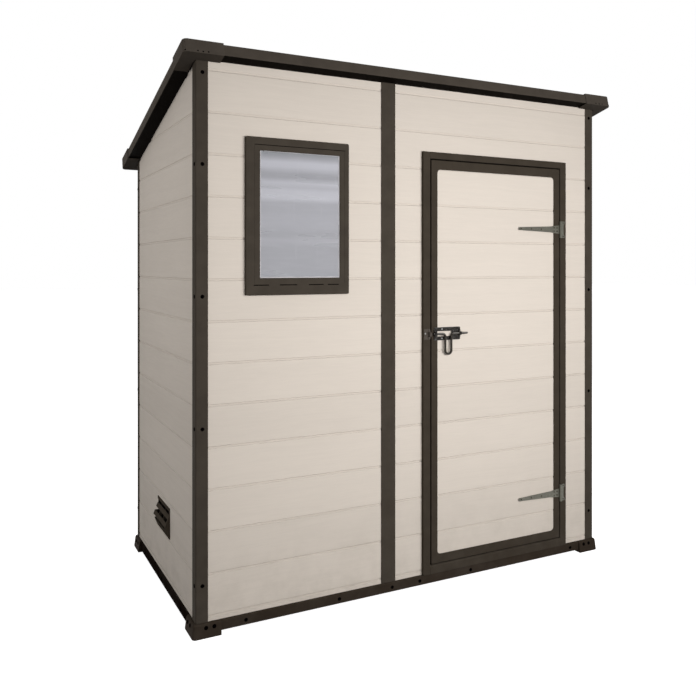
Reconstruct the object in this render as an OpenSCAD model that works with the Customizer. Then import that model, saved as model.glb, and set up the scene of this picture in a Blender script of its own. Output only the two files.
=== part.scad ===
// Pent garden shed in moulded resin: boarded wall panels held by dark corner posts, a single
// sloping roof with capped corners, a fixed window, and a boarded door on two tee hinges with
// a sliding bolt.
//
// X runs along the front, Y runs from the front to the rear and Z is up. The origin is on the
// ground at the middle of the plan. Sizes are in millimetres.

/* [Body] */
// Width over the corner posts
body_w = 1810; // [1680:10:2200]
// Depth over the corner posts
body_d = 964; // [800:4:1300]
// Height of the wall top at the outside of the front posts
wall_front_h = 1970; // [1850:4:2300]
// Fall of the roof towards the rear, in degrees
roof_slope = 13.8; // [8:0.2:16]

/* [Walls] */
// Thickness of a wall panel
wall_t = 16; // [12:1:20]
// Distance from the face of the posts back to the face of the boards
board_recess = 4; // [2:0.5:6]
// Height of one moulded board
board_pitch = 144; // [100:1:180]
// Height of the lowest groove above the base rail
first_groove = 17; // [6:1:60]
// Width of the groove between two boards
groove_w = 9; // [5:0.5:14]
// Depth of the groove between two boards
groove_depth = 2; // [1:0.5:4]

/* [Posts] */
// Width of a post on the front and rear
post_w = 44; // [34:1:60]
// Width of a front post on the sides
post_side_w = 43; // [25:1:60]
// Width of a rear post on the sides
rear_post_side_w = 28; // [25:1:60]
// Width of the upright strip between two panels
mullion_w = 62; // [50:1:80]
// Distance from the left side of the body to the front upright strip
mullion_x = 724; // [700:1:760]
// Thickness of the inner lip that holds the edge of a panel
post_lip_t = 4; // [3:0.5:6]
// Width of the rounded outer corner of a post
post_round = 6; // [3:0.5:10]

/* [Base] */
// Height of the floor and of the top of the base rails
floor_h = 49; // [45:1:80]
// Clearance under the base rails
rail_clear = 12; // [8:1:25]
// How far the base rails stand out from the posts
rail_proud = 3; // [1:0.5:6]
// Thickness of the rail walls and of the floor's skin
skin_t = 5; // [4:0.5:8]
// Length of each arm of a corner shoe
shoe_len = 88; // [70:1:120]
// How far a corner shoe stands out from the posts at its foot
shoe_proud = 13.5; // [9:0.5:18]

/* [Window] */
// Width of the window frame
window_w = 404; // [360:2:460]
// Height of the window frame
window_h = 558; // [480:2:620]
// Distance from the left side of the body to the window frame
window_x = 176; // [150:1:200]
// Height of the underside of the window frame
window_z = 1162; // [1000:2:1200]
// Width of the window frame's left bar
window_left_bar = 53; // [40:1:60]
// Width of the window frame's right bar
window_right_bar = 38; // [30:1:50]
// Width of the window frame's top bar
window_top_bar = 47; // [36:1:60]
// Width of the window frame's bottom bar
window_bottom_bar = 61; // [46:1:70]
// How far window and door frames stand out from the boards
frame_proud = 14; // [10:0.5:20]
// Thickness of the window pane
pane_t = 4; // [3:0.5:6]
// Distance from the face of the window frame back to the pane
pane_recess = 6; // [4:0.5:8]

/* [Door] */
// Distance from the left side of the body to the door leaf
door_x = 945; // [935:1:960]
// Width of the door leaf
door_w = 660; // [560:2:680]
// Height of the underside of the door leaf
door_z = 89; // [85:1:110]
// Height of the door leaf
door_h = 1596; // [1400:4:1700]
// Thickness of the door leaf
door_t = 28; // [24:1:34]
// Gap between the door leaf and its frame
door_gap = 5.5; // [5:0.5:8]
// Width of a door jamb
jamb_w = 32.5; // [28:0.5:40]
// Height of the door head
head_h = 26.5; // [22:0.5:36]
// Width of the door's upright edge bars
door_stile = 29; // [24:1:40]
// Height of the door's top edge bar
door_top_bar = 36; // [28:1:44]
// Height of the door's bottom edge bar
door_bottom_bar = 33; // [26:1:44]
// Distance from the edge bars back to the boarded door panel
door_panel_recess = 5; // [3:0.5:8]
// Radius of the corners of the boarded door panel
door_panel_round = 16; // [8:1:24]

/* [Hinges] */
// Height of the upper hinge
upper_hinge_z = 1424; // [1200:2:1500]
// Height of the lower hinge
lower_hinge_z = 282; // [200:2:400]
// Length of a hinge strap from the pin to its tip
strap_len = 226; // [150:1:260]
// Height of a hinge strap at its wide end
strap_wide = 27; // [22:1:32]
// Radius of the tip of a hinge strap
strap_tip_r = 6.5; // [5:0.5:9]
// Width of the square root plate of a hinge strap
strap_root_w = 44; // [36:1:56]
// Height of the middle knuckle and of the strap's root plate
knuckle_h = 37; // [30:1:44]
// Width of the hinge leaf on the jamb
leaf_w = 25; // [20:1:28]
// Height of the hinge leaf on the jamb
leaf_h = 71; // [60:1:90]
// Thickness of the hinge plates
hinge_t = 2.5; // [2:0.5:3.5]
// Outer radius of the hinge knuckles
knuckle_r = 6; // [5:0.5:7]
// Radius of the hinge pin
pin_r = 3; // [2:0.25:3.5]

/* [Bolt] */
// Height of the sliding bolt
bolt_z = 997; // [800:1:1100]
// Distance from the left edge of the door leaf to the bolt's plate
latch_inset = 10; // [8:1:14]
// Length of the bolt's plate
latch_w = 125; // [118:1:140]
// Height of the bolt's plate
latch_h = 51; // [44:1:58]
// Width of one bar of the bolt's plate above and below its window
latch_bar = 15; // [11:0.5:16]
// Thickness of the bolt's plate
latch_t = 2.5; // [2:0.5:3]
// Width of a guide strap over the bolt
guide_w = 8; // [6:0.5:8]
// Radius of the bolt's rod
rod_r = 4.5; // [3.5:0.1:5.5]
// Distance between the legs of the bolt's bent handle
handle_w = 29; // [26:1:32]
// Length of the bolt's bent handle below the rod
handle_len = 81; // [60:1:100]
// Travel of the bolt into its keeper
bolt_travel = 27; // [20:1:27]
// Length of rod that shows beyond the right of the plate
bolt_tail = 31.5; // [28:0.5:45]

/* [Roof] */
// How far the roof reaches past the posts on the front
front_overhang = 48; // [40:1:60]
// How far the roof reaches past the posts on the left and right
side_overhang = 52; // [40:1:60]
// How far the roof reaches past the posts on the rear
rear_overhang = 80; // [40:1:100]
// Thickness of the roof at its edge
roof_t = 38; // [32:1:44]
// Width of the edge trim's lip on top of the roof
trim_lip_w = 44; // [36:1:56]
// Thickness of the edge trim and of its lips
trim_t = 4; // [3:0.5:5]
// How far the edge trim hangs below the underside of the roof
trim_drip = 4; // [2:0.5:8]
// Length of each arm of a roof corner cap
cap_len = 138; // [90:1:160]
// Thickness of a roof corner cap
cap_t = 2.5; // [2:0.5:4]
// Outer radius of a roof corner cap
cap_round = 16; // [14:0.5:18]
// Number of raised ribs across each roof panel
roof_ribs = 6; // [3:1:9]

/* [Vents] */
// Distance from the front of the body to the middle of a side vent
vent_y = 468; // [250:2:500]
// Height of the middle of a side vent
vent_z = 276; // [250:2:400]
// Width of a side vent
vent_w = 196; // [160:2:260]
// Height of a side vent
vent_h = 118; // [90:1:130]
// How far the hood of a side vent stands out from the boards
hood_proud = 20; // [14:1:26]

/* [Hidden] */

// Colours
BEIGE = "#ddd3c6";
BROWN = "#463d35";
DARK_BROWN = "#332c27";
FLOOR_GREY = "#8a857d";
HINGE_GREEN = "#7c7f6f";
STEEL = "#56575a";
GLASS = "#b4b8c0";

// Clearances: between seated pieces, round a hinge pin, round the bolt in its guides and in
// its keeper, and round a panel held in a frame
seat = 0.3;
pin_clear = 0.08;
rod_clear = 0.5;
keeper_clear = 1.5;
slip = 0.2;
// How far a cutting shape runs past the face that it cuts
cut = 1;

// Joinery: web of an upright strip, grip of a jamb on the wall, door stop, cover of the
// window frame over its hole, rebate of the pane, cover of a vent over its hole, rim and
// shell of the vent, strap over the bolt
mullion_web = 10;
jamb_grip = 12;
stop_gap = 5;
stop_t = 5;
stop_w = 12;
window_cover = 16;
pane_lip = 6;
vent_cover = 14;
vent_rim = 3;
hood_t = 3;
guide_t = 3;
guide_gap = 1;

// Places that more than one piece takes
left_x = -body_w / 2;
front_y = -body_d / 2;
board_y = front_y + board_recess;
inner_depth = board_recess + wall_t;
door_face_y = board_y - frame_proud;
door_left = left_x + door_x;
door_right = door_left + door_w;
door_top = door_z + door_h;
jamb_left = door_left - door_gap - jamb_w;
jamb_right = door_right + door_gap + jamb_w;
head_z = door_top + door_gap;
stop_back = door_t + stop_gap + stop_t;
frame_span = door_w + 2 * door_gap;
door_panel_w = door_w - 2 * door_stile;
door_panel_h = door_h - door_top_bar - door_bottom_bar;
pane_w = window_w - window_left_bar - window_right_bar;
pane_h = window_h - window_top_bar - window_bottom_bar;
latch_left = door_left + latch_inset;
rod_y = door_face_y - latch_t - guide_gap - rod_r;
pin_x = door_right + door_gap / 2;
pin_y = door_face_y - knuckle_r - seat;
mullion_left = left_x + mullion_x;
reach = 4 * (body_w + body_d + wall_front_h);
edge_y = -front_overhang / cos(roof_slope);
rear_edge_y = (body_d + rear_overhang - roof_t * sin(roof_slope)) / cos(roof_slope);
wall_run = body_d / cos(roof_slope);
deck_half = body_w / 2 + side_overhang - trim_t;
front_lip = -edge_y - trim_t - seat;
rear_lip = rear_edge_y - wall_run - trim_t - seat;
post_block = inner_depth + post_lip_t;

// ---------- shared shapes ----------

// Rounded rectangle with its lower left corner at the origin
module rounded_rect(w, h, r) {
    translate([r, 0]) square([w - 2 * r, h]);
    translate([0, r]) square([w, h - 2 * r]);
    for (x = [r, w - r], y = [r, h - r])
        translate([x, y]) circle(r, $fn = 48);
}

// Extrudes a profile of (depth, height) points over a length along X
module along_x(length) {
    rotate([90, 0, 90]) linear_extrude(length) children();
}

// Turns a piece drawn on the front to another side: 0 front, 90 right, 180 rear, -90 left
module on_side(angle) {
    rotate([0, 0, angle]) children();
}

// Half the plan size seen from a side
function half_out(angle) = angle % 180 == 0 ? body_d / 2 : body_w / 2;

// Frame of the roof: X along the front, Y down the slope, Z square to the roof,
// with Z = 0 on the underside and Y = 0 over the face of the front posts
module on_roof() {
    translate([0, front_y, wall_front_h]) rotate([-roof_slope, 0, 0]) children();
}

// Cuts a piece off just under the roof
module under_roof() {
    difference() {
        children();
        on_roof() translate([-reach / 2, -reach / 2, -seat]) cube([reach, reach, reach]);
    }
}

// Heights of the grooves between two levels, with a margin for the groove itself
function grooves(low, high) = [
    for (z = [floor_h + first_groove : board_pitch : high])
        if (z > low + groove_w && z < high - groove_w) z
];

// Outline of a boarded panel, with its outer face on the left
function board_outline(low, high, thick) = concat(
    [[0, low]],
    [for (z = grooves(low, high), step = [0 : 3])
        [step == 0 || step == 3 ? 0 : groove_depth,
         z + groove_w * (step == 0 ? -0.5 : step == 1 ? -0.28 : step == 2 ? 0.28 : 0.5)]],
    [[0, high], [thick, high], [thick, low]]
);

// Boarded panel: X from 0 to its width, Y from its outer face inwards, Z in true height
module boards(width, low, high, thick) {
    along_x(width) polygon(board_outline(low, high, thick));
}

// ---------- base ----------

// Left half of the floor: a flat skin carried by ribs that stand on the ground
module floor_panel() {
    foot_inset = 40;
    ribs_x = 4;
    ribs_y = 3;
    width = -left_x - inner_depth - seat / 2;
    span_y = body_d - 2 * inner_depth;
    foot_w = width - foot_inset;
    foot_d = span_y - 2 * foot_inset;
    color(FLOOR_GREY) translate([left_x + inner_depth, -span_y / 2, 0]) union() {
        translate([0, 0, floor_h - skin_t]) cube([width, span_y, skin_t]);
        for (i = [0 : ribs_x])
            translate([foot_inset + i * (foot_w - skin_t) / ribs_x, foot_inset, 0])
                cube([skin_t, foot_d, floor_h - skin_t]);
        for (i = [0 : ribs_y])
            translate([foot_inset, foot_inset + i * (foot_d - skin_t) / ribs_y, 0])
                cube([foot_w, skin_t, floor_h - skin_t]);
    }
}

module floor_left_panel() { floor_panel(); }
module floor_right_panel() { mirror([1, 0, 0]) floor_panel(); }

// Hollow base rail with a sloped top edge that sheds water
module rail_profile() {
    bevel = 3;
    depth = rail_proud + inner_depth - seat;
    difference() {
        polygon([
            [-rail_proud, rail_clear], [-rail_proud, floor_h - bevel],
            [bevel - rail_proud, floor_h - seat], [inner_depth - seat, floor_h - seat],
            [inner_depth - seat, rail_clear]
        ]);
        translate([skin_t - rail_proud, rail_clear - cut])
            square([depth - 2 * skin_t, floor_h - rail_clear - skin_t + cut - seat]);
    }
}

// Rail between the corner shoes of one side
module rail(angle, side_len) {
    length = side_len - 2 * (shoe_len + seat);
    color(DARK_BROWN) on_side(angle)
        translate([-length / 2, -half_out(angle), 0])
            along_x(length) rail_profile();
}

module front_rail() { rail(0, body_w); }
module rear_rail() { rail(180, body_w); }
module left_rail() { rail(-90, body_d); }
module right_rail() { rail(90, body_d); }

// Section of a corner shoe, measured outwards from the face of the posts: an upright toe,
// a face that leans back, and a rounded shoulder
module shoe_profile() {
    toe_h = 7;
    shoulder = 8;
    top_proud = 0.65 * shoe_proud;
    polygon([
        [seat - inner_depth, 0], [shoe_proud, 0], [shoe_proud, toe_h],
        for (a = [0 : 22.5 : 90])
            [top_proud - shoulder + shoulder * cos(a), floor_h - shoulder + shoulder * sin(a)],
        [seat - inner_depth, floor_h]
    ]);
}

// Sweeps a profile of (distance outwards, height) round one outer corner of the body.
// The corner is at the origin, with the arms along +X and +Y.
module corner_sweep(arm_x, arm_y) {
    rotate([90, 0, 90]) linear_extrude(arm_x) mirror([1, 0]) children();
    rotate([90, 0, 0]) mirror([0, 0, 1]) linear_extrude(arm_y) mirror([1, 0]) children();
    rotate([0, 0, 180]) rotate_extrude(angle = 90, $fn = 64) intersection() {
        children();
        translate([0, -reach / 2]) square([reach, reach]);
    }
}

// Flared shoes round the four corners, between the rails
module corner_shoes() {
    color(DARK_BROWN) for (mx = [0, 1], my = [0, 1])
        mirror([mx, 0, 0]) mirror([0, my, 0]) translate([left_x, front_y, 0])
            corner_sweep(shoe_len, shoe_len) shoe_profile();
}

// ---------- posts ----------

// Section of a corner post at the front left corner of the body, in plan: two outer legs,
// a corner block, and two inner lips that make slots for the edges of the panels
module post_profile(side_w) {
    lip = 10;
    difference() {
        union() {
            square([post_w, board_recess]);
            square([board_recess, side_w]);
            square([post_block, post_block]);
            translate([post_block, inner_depth]) square([lip, post_lip_t]);
            translate([inner_depth, post_block]) square([post_lip_t, lip]);
        }
        difference() {
            translate([-cut, -cut]) square([post_round + cut, post_round + cut]);
            translate([post_round, post_round]) circle(post_round, $fn = 48);
        }
    }
}

// Corner post, standing on its shoe and the base rails and cut to the roof
module post(mx, my) {
    color(BROWN) under_roof()
        mirror([mx, 0, 0]) mirror([0, my, 0])
            translate([left_x, front_y, floor_h])
                linear_extrude(wall_front_h)
                    post_profile(my == 0 ? post_side_w : rear_post_side_w);
}

module front_left_post() { post(0, 0); }
module front_right_post() { post(1, 0); }
module rear_left_post() { post(0, 1); }
module rear_right_post() { post(1, 1); }

// Section of the upright strip that joins two panels, in plan
module mullion_profile() {
    lip_w = 38;
    square([mullion_w, board_recess]);
    translate([(mullion_w - mullion_web) / 2, 0])
        square([mullion_web, inner_depth + post_lip_t]);
    translate([(mullion_w - lip_w) / 2, inner_depth]) square([lip_w, post_lip_t]);
}

module front_mullion() {
    color(BROWN) under_roof()
        translate([mullion_left, front_y, floor_h])
            linear_extrude(wall_front_h) mullion_profile();
}

module rear_mullion() {
    color(BROWN) under_roof()
        on_side(180) translate([-mullion_w / 2, front_y, floor_h])
            linear_extrude(wall_front_h) mullion_profile();
}

// ---------- walls ----------

// Boarded wall panel on the front between two distances along X
module front_panel(x0, x1, low) {
    color(BEIGE) under_roof() translate([x0, board_y, 0])
        boards(x1 - x0, low, wall_front_h, wall_t);
}

// Panel to the left of the upright strip, with a hole for the window frame's sleeve
module front_window_panel() {
    color(BEIGE) difference() {
        front_panel(left_x + post_block, mullion_left + (mullion_w - mullion_web) / 2, floor_h);
        translate([
                left_x + window_x + window_cover, board_y - cut, window_z + window_cover])
            cube([
                window_w - 2 * window_cover, wall_t + 2 * cut, window_h - 2 * window_cover]);
    }
}

module front_latch_side_panel() {
    front_panel(mullion_left + (mullion_w + mullion_web) / 2, jamb_left + jamb_grip, floor_h);
}

module front_hinge_side_panel() {
    front_panel(jamb_right - jamb_grip, -left_x - post_block, floor_h);
}

module front_over_door_panel() {
    front_panel(jamb_left + jamb_grip, jamb_right - jamb_grip, head_z + head_h - jamb_grip);
}

// Left side wall with its top cut to the roof slope and a hole for the vent
module side_wall() {
    color(BEIGE) difference() {
        under_roof() on_side(-90)
            translate([-body_d / 2 + post_block, -body_w / 2 + board_recess, 0])
                boards(body_d - 2 * post_block, floor_h, wall_front_h, wall_t);
        vent_place() cube([
            vent_w - 2 * vent_cover, 4 * wall_t, vent_h - 2 * vent_cover], center = true);
    }
}

module left_wall() { side_wall(); }
module right_wall() { mirror([1, 0, 0]) side_wall(); }

// Rear panel between two distances along X, with its top cut to the roof
module rear_panel(x0, x1) {
    color(BEIGE) under_roof() mirror([0, 1, 0]) translate([x0, board_y, 0])
        boards(x1 - x0, floor_h, wall_front_h, wall_t);
}

module rear_left_panel() { rear_panel(left_x + post_block, -mullion_web / 2); }
module rear_right_panel() { rear_panel(mullion_web / 2, -left_x - post_block); }

// ---------- window ----------

// Frame that stands proud of the boards, with a sleeve through the wall and a rebate behind
// for the pane
module window_frame() {
    corner_r = 6;
    sleeve_inset = window_cover + seat;
    color(BROWN) translate([left_x + window_x, board_y, window_z])
        rotate([90, 0, 0]) difference() {
            union() {
                linear_extrude(frame_proud) rounded_rect(window_w, window_h, corner_r);
                translate([sleeve_inset, sleeve_inset, -wall_t]) cube([
                    window_w - 2 * sleeve_inset, window_h - 2 * sleeve_inset, wall_t + cut]);
            }
            // Daylight opening
            translate([window_left_bar, window_bottom_bar, -wall_t - cut])
                cube([pane_w, pane_h, wall_t + frame_proud + 2 * cut]);
            // Rebate that holds the pane from behind
            translate([
                    window_left_bar - pane_lip, window_bottom_bar - pane_lip, -wall_t - cut])
                cube([
                    pane_w + 2 * pane_lip, pane_h + 2 * pane_lip,
                    wall_t + cut + frame_proud - pane_recess]);
        }
}

module window_pane() {
    grip = pane_lip - slip;
    color(GLASS) translate([
            left_x + window_x + window_left_bar - grip, door_face_y + pane_recess,
            window_z + window_bottom_bar - grip])
        cube([pane_w + 2 * grip, pane_t, pane_h + 2 * grip]);
}

// ---------- door frame ----------

// Section of a door jamb in plan, for the latch side: the outer edge at X = 0, the face of
// the frame at Y = 0, and the stop behind the leaf at the back
module jamb_profile() {
    difference() {
        union() {
            square([jamb_w, stop_back]);
            translate([0, stop_back - stop_t]) square([jamb_w + stop_w, stop_t]);
        }
        // Slot that grips the edge of the wall panel
        translate([-cut, frame_proud]) square([jamb_grip + cut, wall_t]);
    }
}

// Jamb standing on the base rail, slotted at the top for the panel over the door
module jamb() {
    top = head_z + head_h;
    color(BROWN) translate([jamb_left, door_face_y, 0]) difference() {
        translate([0, 0, floor_h]) linear_extrude(top - floor_h) jamb_profile();
        translate([jamb_grip, frame_proud, top - jamb_grip])
            cube([jamb_w, wall_t, jamb_grip + cut]);
    }
}

module door_jamb_latch_side() { jamb(); }

module door_jamb_hinge_side() {
    translate([jamb_left + jamb_right, 0, 0]) mirror([1, 0, 0]) jamb();
}

// Length of profile between the jambs, notched at both ends round their stops
module between_jambs() {
    translate([jamb_left + jamb_w, door_face_y, 0]) difference() {
        along_x(frame_span) children();
        for (x = [-cut, frame_span - stop_w])
            translate([x, stop_back - stop_t, 0]) cube([stop_w + cut, stop_t + cut, reach]);
    }
}

// Head between the jambs, with the stop behind the top of the leaf
module door_head() {
    color(BROWN) between_jambs() difference() {
        union() {
            translate([0, head_z]) square([stop_back, head_h]);
            translate([stop_back - stop_t, head_z - stop_w]) square([stop_t, stop_w + cut]);
        }
        translate([frame_proud, head_z + head_h - jamb_grip]) square([wall_t, jamb_grip + cut]);
    }
}

// Sill between the jambs, bevelled along the front so that it sheds water
module door_threshold() {
    bevel = 4;
    top = door_z - door_gap;
    color(DARK_BROWN) between_jambs() polygon([
        [0, floor_h], [0, top - bevel], [bevel, top], [stop_back, top], [stop_back, floor_h]
    ]);
}

// ---------- door ----------

// Places a piece drawn flat on the door's face: X across, Y up, Z out of the door
module on_door_face() {
    translate([door_left, door_face_y, door_z]) rotate([90, 0, 0]) children();
}

// Edge bars of the leaf in one frame, with a round-cornered hole for the boarded panel
module door_rim() {
    corner_r = 4;
    color(BROWN) on_door_face() translate([0, 0, -door_t]) difference() {
        linear_extrude(door_t) rounded_rect(door_w, door_h, corner_r);
        translate([door_stile, door_bottom_bar, -cut]) linear_extrude(door_t + 2 * cut)
            rounded_rect(door_panel_w, door_panel_h, door_panel_round);
    }
}

// Boarded panel of the leaf, with the grooves in line with those of the walls
module door_panel() {
    thick = door_t - 2 * door_panel_recess;
    color(BEIGE) intersection() {
        translate([door_left + door_stile, door_face_y + door_panel_recess, 0])
            boards(door_panel_w, door_z + door_bottom_bar, door_top - door_top_bar, thick);
        on_door_face() translate([door_stile + slip, door_bottom_bar + slip, -door_t])
            linear_extrude(door_t) rounded_rect(
                door_panel_w - 2 * slip, door_panel_h - 2 * slip, door_panel_round - slip);
    }
}

// ---------- hinges ----------

// Places a hinge drawn round its pin at the origin
module at_hinge(z) {
    translate([pin_x, pin_y, z]) children();
}

// Strap of a tee hinge: a tapered blade with a round tip, a square root plate and the
// middle knuckle, bored for the pin
module hinge_strap(z) {
    root_half = knuckle_h / 2;
    plate_back = knuckle_r + seat;
    tip_x = -strap_len + strap_tip_r;
    color(HINGE_GREEN) at_hinge(z) difference() {
        union() {
            translate([0, plate_back, 0]) rotate([90, 0, 0]) linear_extrude(hinge_t) union() {
                translate([-strap_root_w, -root_half]) square([strap_root_w, knuckle_h]);
                polygon([
                    [-strap_root_w, -strap_wide / 2], [tip_x, -strap_tip_r],
                    [tip_x, strap_tip_r], [-strap_root_w, strap_wide / 2]
                ]);
                translate([tip_x, 0]) circle(strap_tip_r, $fn = 48);
            }
            translate([0, 0, -root_half]) cylinder(h = knuckle_h, r = knuckle_r, $fn = 64);
        }
        translate([0, 0, -root_half - cut])
            cylinder(h = knuckle_h + 2 * cut, r = pin_r + pin_clear, $fn = 64);
    }
}

module hinge_strap_upper() { hinge_strap(upper_hinge_z); }
module hinge_strap_lower() { hinge_strap(lower_hinge_z); }

// Leaf of a tee hinge on the jamb: a waisted plate with a knuckle above and below the
// strap's, and the pin through all three
module hinge_leaf(z) {
    half = leaf_h / 2;
    root_half = knuckle_h / 2;
    play = 0.5;
    plate_back = knuckle_r + seat;
    waist = 5;
    ear_h = 9;
    start = knuckle_r + play;
    color(HINGE_GREEN) at_hinge(z) union() {
        translate([0, plate_back, 0]) rotate([90, 0, 0]) linear_extrude(hinge_t) union() {
            polygon([
                [start, -half], [leaf_w, -half], [leaf_w, ear_h - half],
                [leaf_w - waist, -root_half], [leaf_w - waist, root_half],
                [leaf_w, half - ear_h], [leaf_w, half], [start, half]
            ]);
            for (s = [-1, 1])
                translate([0, s > 0 ? root_half + play : -half])
                    square([start + cut, half - root_half - play]);
        }
        for (s = [-1, 1])
            translate([0, 0, s > 0 ? root_half + play : -half])
                cylinder(h = half - root_half - play, r = knuckle_r, $fn = 64);
        translate([0, 0, -half]) cylinder(h = leaf_h, r = pin_r, $fn = 64);
    }
}

module hinge_leaf_upper() { hinge_leaf(upper_hinge_z); }
module hinge_leaf_lower() { hinge_leaf(lower_hinge_z); }

// ---------- sliding bolt ----------

// Strap bent over the rod: X from 0 to its width, the rod's axis at Y = 0 and Z = 0, with
// its feet on a plate behind and its back let into that plate
module rod_guide(width, bore_r) {
    foot = 9;
    foot_t = 2;
    let_in = 1;
    outer = bore_r + guide_t;
    drop = rod_r + guide_gap;
    rotate([90, 0, 90]) linear_extrude(width) difference() {
        union() {
            circle(outer, $fn = 64);
            translate([0, -outer]) square([drop + let_in, 2 * outer]);
            translate([drop - foot_t, -outer - foot]) square([foot_t, 2 * (outer + foot)]);
        }
        circle(bore_r, $fn = 64);
        translate([drop + let_in, -outer]) square([outer, 2 * outer]);
    }
}

// Plate of the bolt with a window between its bars and a guide strap at each end
module latch_plate() {
    window_left = 37;
    window_right = 40;
    corner_r = 3;
    color(STEEL) union() {
        translate([latch_left, door_face_y, bolt_z - latch_h / 2]) rotate([90, 0, 0])
            linear_extrude(latch_t) difference() {
                rounded_rect(latch_w, latch_h, corner_r);
                translate([window_left, latch_bar])
                    rounded_rect(latch_w - window_left - window_right,
                        latch_h - 2 * latch_bar, corner_r);
            }
        for (x = [latch_left, latch_left + latch_w - guide_w])
            translate([x, rod_y, bolt_z]) rod_guide(guide_w, rod_r + rod_clear);
    }
}

// Rod bent into a hanging handle between its two straight ends
module latch_bolt() {
    bend_r = 14;
    nose = 5;
    nose_bevel = 1.2;
    play = 1;
    left_end = latch_left - nose;
    leg_left = latch_left + guide_w + bolt_travel + play + bend_r;
    leg_right = leg_left + handle_w;
    right_end = latch_left + latch_w + bolt_tail;
    low = handle_len - handle_w / 2;
    color(STEEL) translate([0, rod_y, bolt_z]) {
        translate([left_end, 0, 0]) rotate([0, 90, 0])
            cylinder(h = nose_bevel, r1 = rod_r - nose_bevel, r2 = rod_r, $fn = 64);
        translate([left_end + nose_bevel, 0, 0])
            rod(leg_left - bend_r - left_end - nose_bevel, 90);
        translate([leg_left - bend_r, 0, -bend_r]) rod_bend(bend_r, 0, 90);
        translate([leg_left, 0, -low]) rod(low - bend_r, 0);
        translate([leg_left + handle_w / 2, 0, -low]) rod_bend(handle_w / 2, 180, 180);
        translate([leg_right, 0, -low]) rod(low - bend_r, 0);
        translate([leg_right + bend_r, 0, -bend_r]) rod_bend(bend_r, 90, 90);
        translate([leg_right + bend_r, 0, 0]) rod(right_end - leg_right - bend_r, 90);
    }
}

// Straight rod from the origin, along Z at a tilt of 0 and along X at 90
module rod(length, tilt) {
    rotate([0, tilt, 0]) cylinder(h = length, r = rod_r, $fn = 64);
}

// Bend of the rod in the upright plane: from an angle, measured from +X towards +Z
module rod_bend(radius, from, sweep) {
    rotate([90, 0, 0]) rotate([0, 0, from])
        rotate_extrude(angle = sweep, $fn = 96) translate([radius, 0]) circle(rod_r, $fn = 64);
}

// Keeper on the jamb that takes the end of the bolt
module latch_keeper() {
    inset = 2;
    plate_w = jamb_w - 2 * inset;
    plate_h = 42;
    corner_r = 3;
    eye_w = 9;
    color(STEEL) translate([jamb_left + inset, door_face_y, bolt_z]) union() {
        translate([0, 0, -plate_h / 2]) rotate([90, 0, 0])
            linear_extrude(latch_t) rounded_rect(plate_w, plate_h, corner_r);
        translate([plate_w - eye_w - slip, rod_y - door_face_y, 0])
            rod_guide(eye_w, rod_r + keeper_clear);
    }
}

// ---------- vents ----------

// Middle of the left vent on the face of the boards, with X towards the front and Y inwards
module vent_place() {
    on_side(-90)
        translate([body_d / 2 - vent_y, -body_w / 2 + board_recess, vent_z]) children();
}

// Outline of a vent's hood: flat at the top, swelling out below, and back to the boards
module hood_outline() {
    nose_low = 0.35 * vent_h;
    nose_high = 0.41 * vent_h;
    knee = 0.6 * vent_h;
    knee_proud = 0.6 * hood_proud;
    root = 0.77 * vent_h;
    polygon([
        [0, 0], [-vent_rim, 0], [-hood_proud, nose_low], [-hood_proud, nose_high],
        [-knee_proud, knee], [-vent_rim, root], [-vent_rim, vent_h], [0, vent_h]
    ]);
}

// The same outline set inwards, as far as a distance past the face of the boards
module hood_inside(inset, past) {
    intersection() {
        translate([inset, 0]) hood_outline();
        translate([-hood_proud, hood_t]) square([hood_proud + past, vent_h - 2 * hood_t]);
    }
}

// Vent: a hollow hood with slots between its blades. The slots stop short of the front end
// and run out at the rear end, and upright webs inside carry the blades.
module vent() {
    border = 8;
    slots = 3;
    slot_h = 14;
    slot_pitch = 0.25 * vent_h;
    lowest_slot = 0.28 * vent_h;
    webs = 2;
    color(BROWN) vent_place() translate([-vent_w / 2, 0, -vent_h / 2]) union() {
        difference() {
            along_x(vent_w) hood_outline();
            translate([hood_t, 0, 0])
                along_x(vent_w - 2 * hood_t) hood_inside(hood_t, cut);
            for (i = [0 : slots - 1])
                translate([-cut, -hood_proud - cut, lowest_slot + i * slot_pitch])
                    cube([vent_w - border + cut, hood_proud + 2 * cut, slot_h]);
        }
        for (i = [1 : webs])
            translate([i * vent_w / (webs + 1) - hood_t / 2, 0, 0])
                along_x(hood_t) hood_inside(hood_t / 2, 0);
    }
}

module left_vent() { vent(); }
module right_vent() { mirror([1, 0, 0]) vent(); }

// ---------- roof ----------

// Left half of the roof: a deck whose edges go into the edge trims, a lower part that rests
// on the walls, and raised ribs down the slope
module roof_panel() {
    rib_w = 14;
    rib_h = 2.5;
    rib_end = 6;
    rib_inset = trim_lip_w + trim_t + rib_end;
    wall_inset = side_overhang - trim_t;
    width = deck_half - seat / 2;
    run = rear_edge_y - edge_y;
    color(BROWN) on_roof() translate([-deck_half, 0, 0]) union() {
        translate([0, edge_y + trim_t, trim_t])
            cube([width, run - 2 * trim_t, roof_t - 2 * trim_t]);
        translate([wall_inset, 0, 0]) cube([width - wall_inset, wall_run, trim_t + cut]);
        for (i = [1 : roof_ribs])
            translate([
                    trim_lip_w + i * (width - trim_lip_w - rib_w) / (roof_ribs + 1),
                    edge_y + rib_inset, roof_t - trim_t - cut])
                cube([rib_w, run - 2 * rib_inset, rib_h + cut]);
    }
}

module roof_left_panel() { roof_panel(); }
module roof_right_panel() { mirror([1, 0, 0]) roof_panel(); }

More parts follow.
